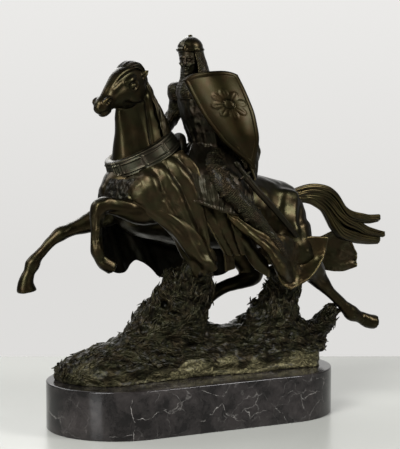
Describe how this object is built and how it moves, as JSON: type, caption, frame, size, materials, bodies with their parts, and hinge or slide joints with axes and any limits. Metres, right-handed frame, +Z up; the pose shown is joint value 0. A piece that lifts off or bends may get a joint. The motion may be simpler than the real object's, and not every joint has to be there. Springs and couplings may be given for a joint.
{
  "type": "equestrian statuette",
  "caption": "Bronze knight with a heater shield on a galloping horse over rocky ground, fixed on a black marble plinth with round ends.",
  "frame": {"origin": "centre of the plinth's flat underside", "axes": "+Z up; the horse gallops towards -X; its left side and the rider's shield face -Y"},
  "size_m": [0.4097, 0.14, 0.3752],
  "materials": {
    "bronze": "dark brown-olive patinated bronze, rubbed golden on the high spots",
    "marble": "polished black marble with white and grey veins"
  },
  "bodies": {
    "root": {"bronze_horse_and_knight": "bronze", "marble_plinth": "marble"}
  },
  "joints": []
}
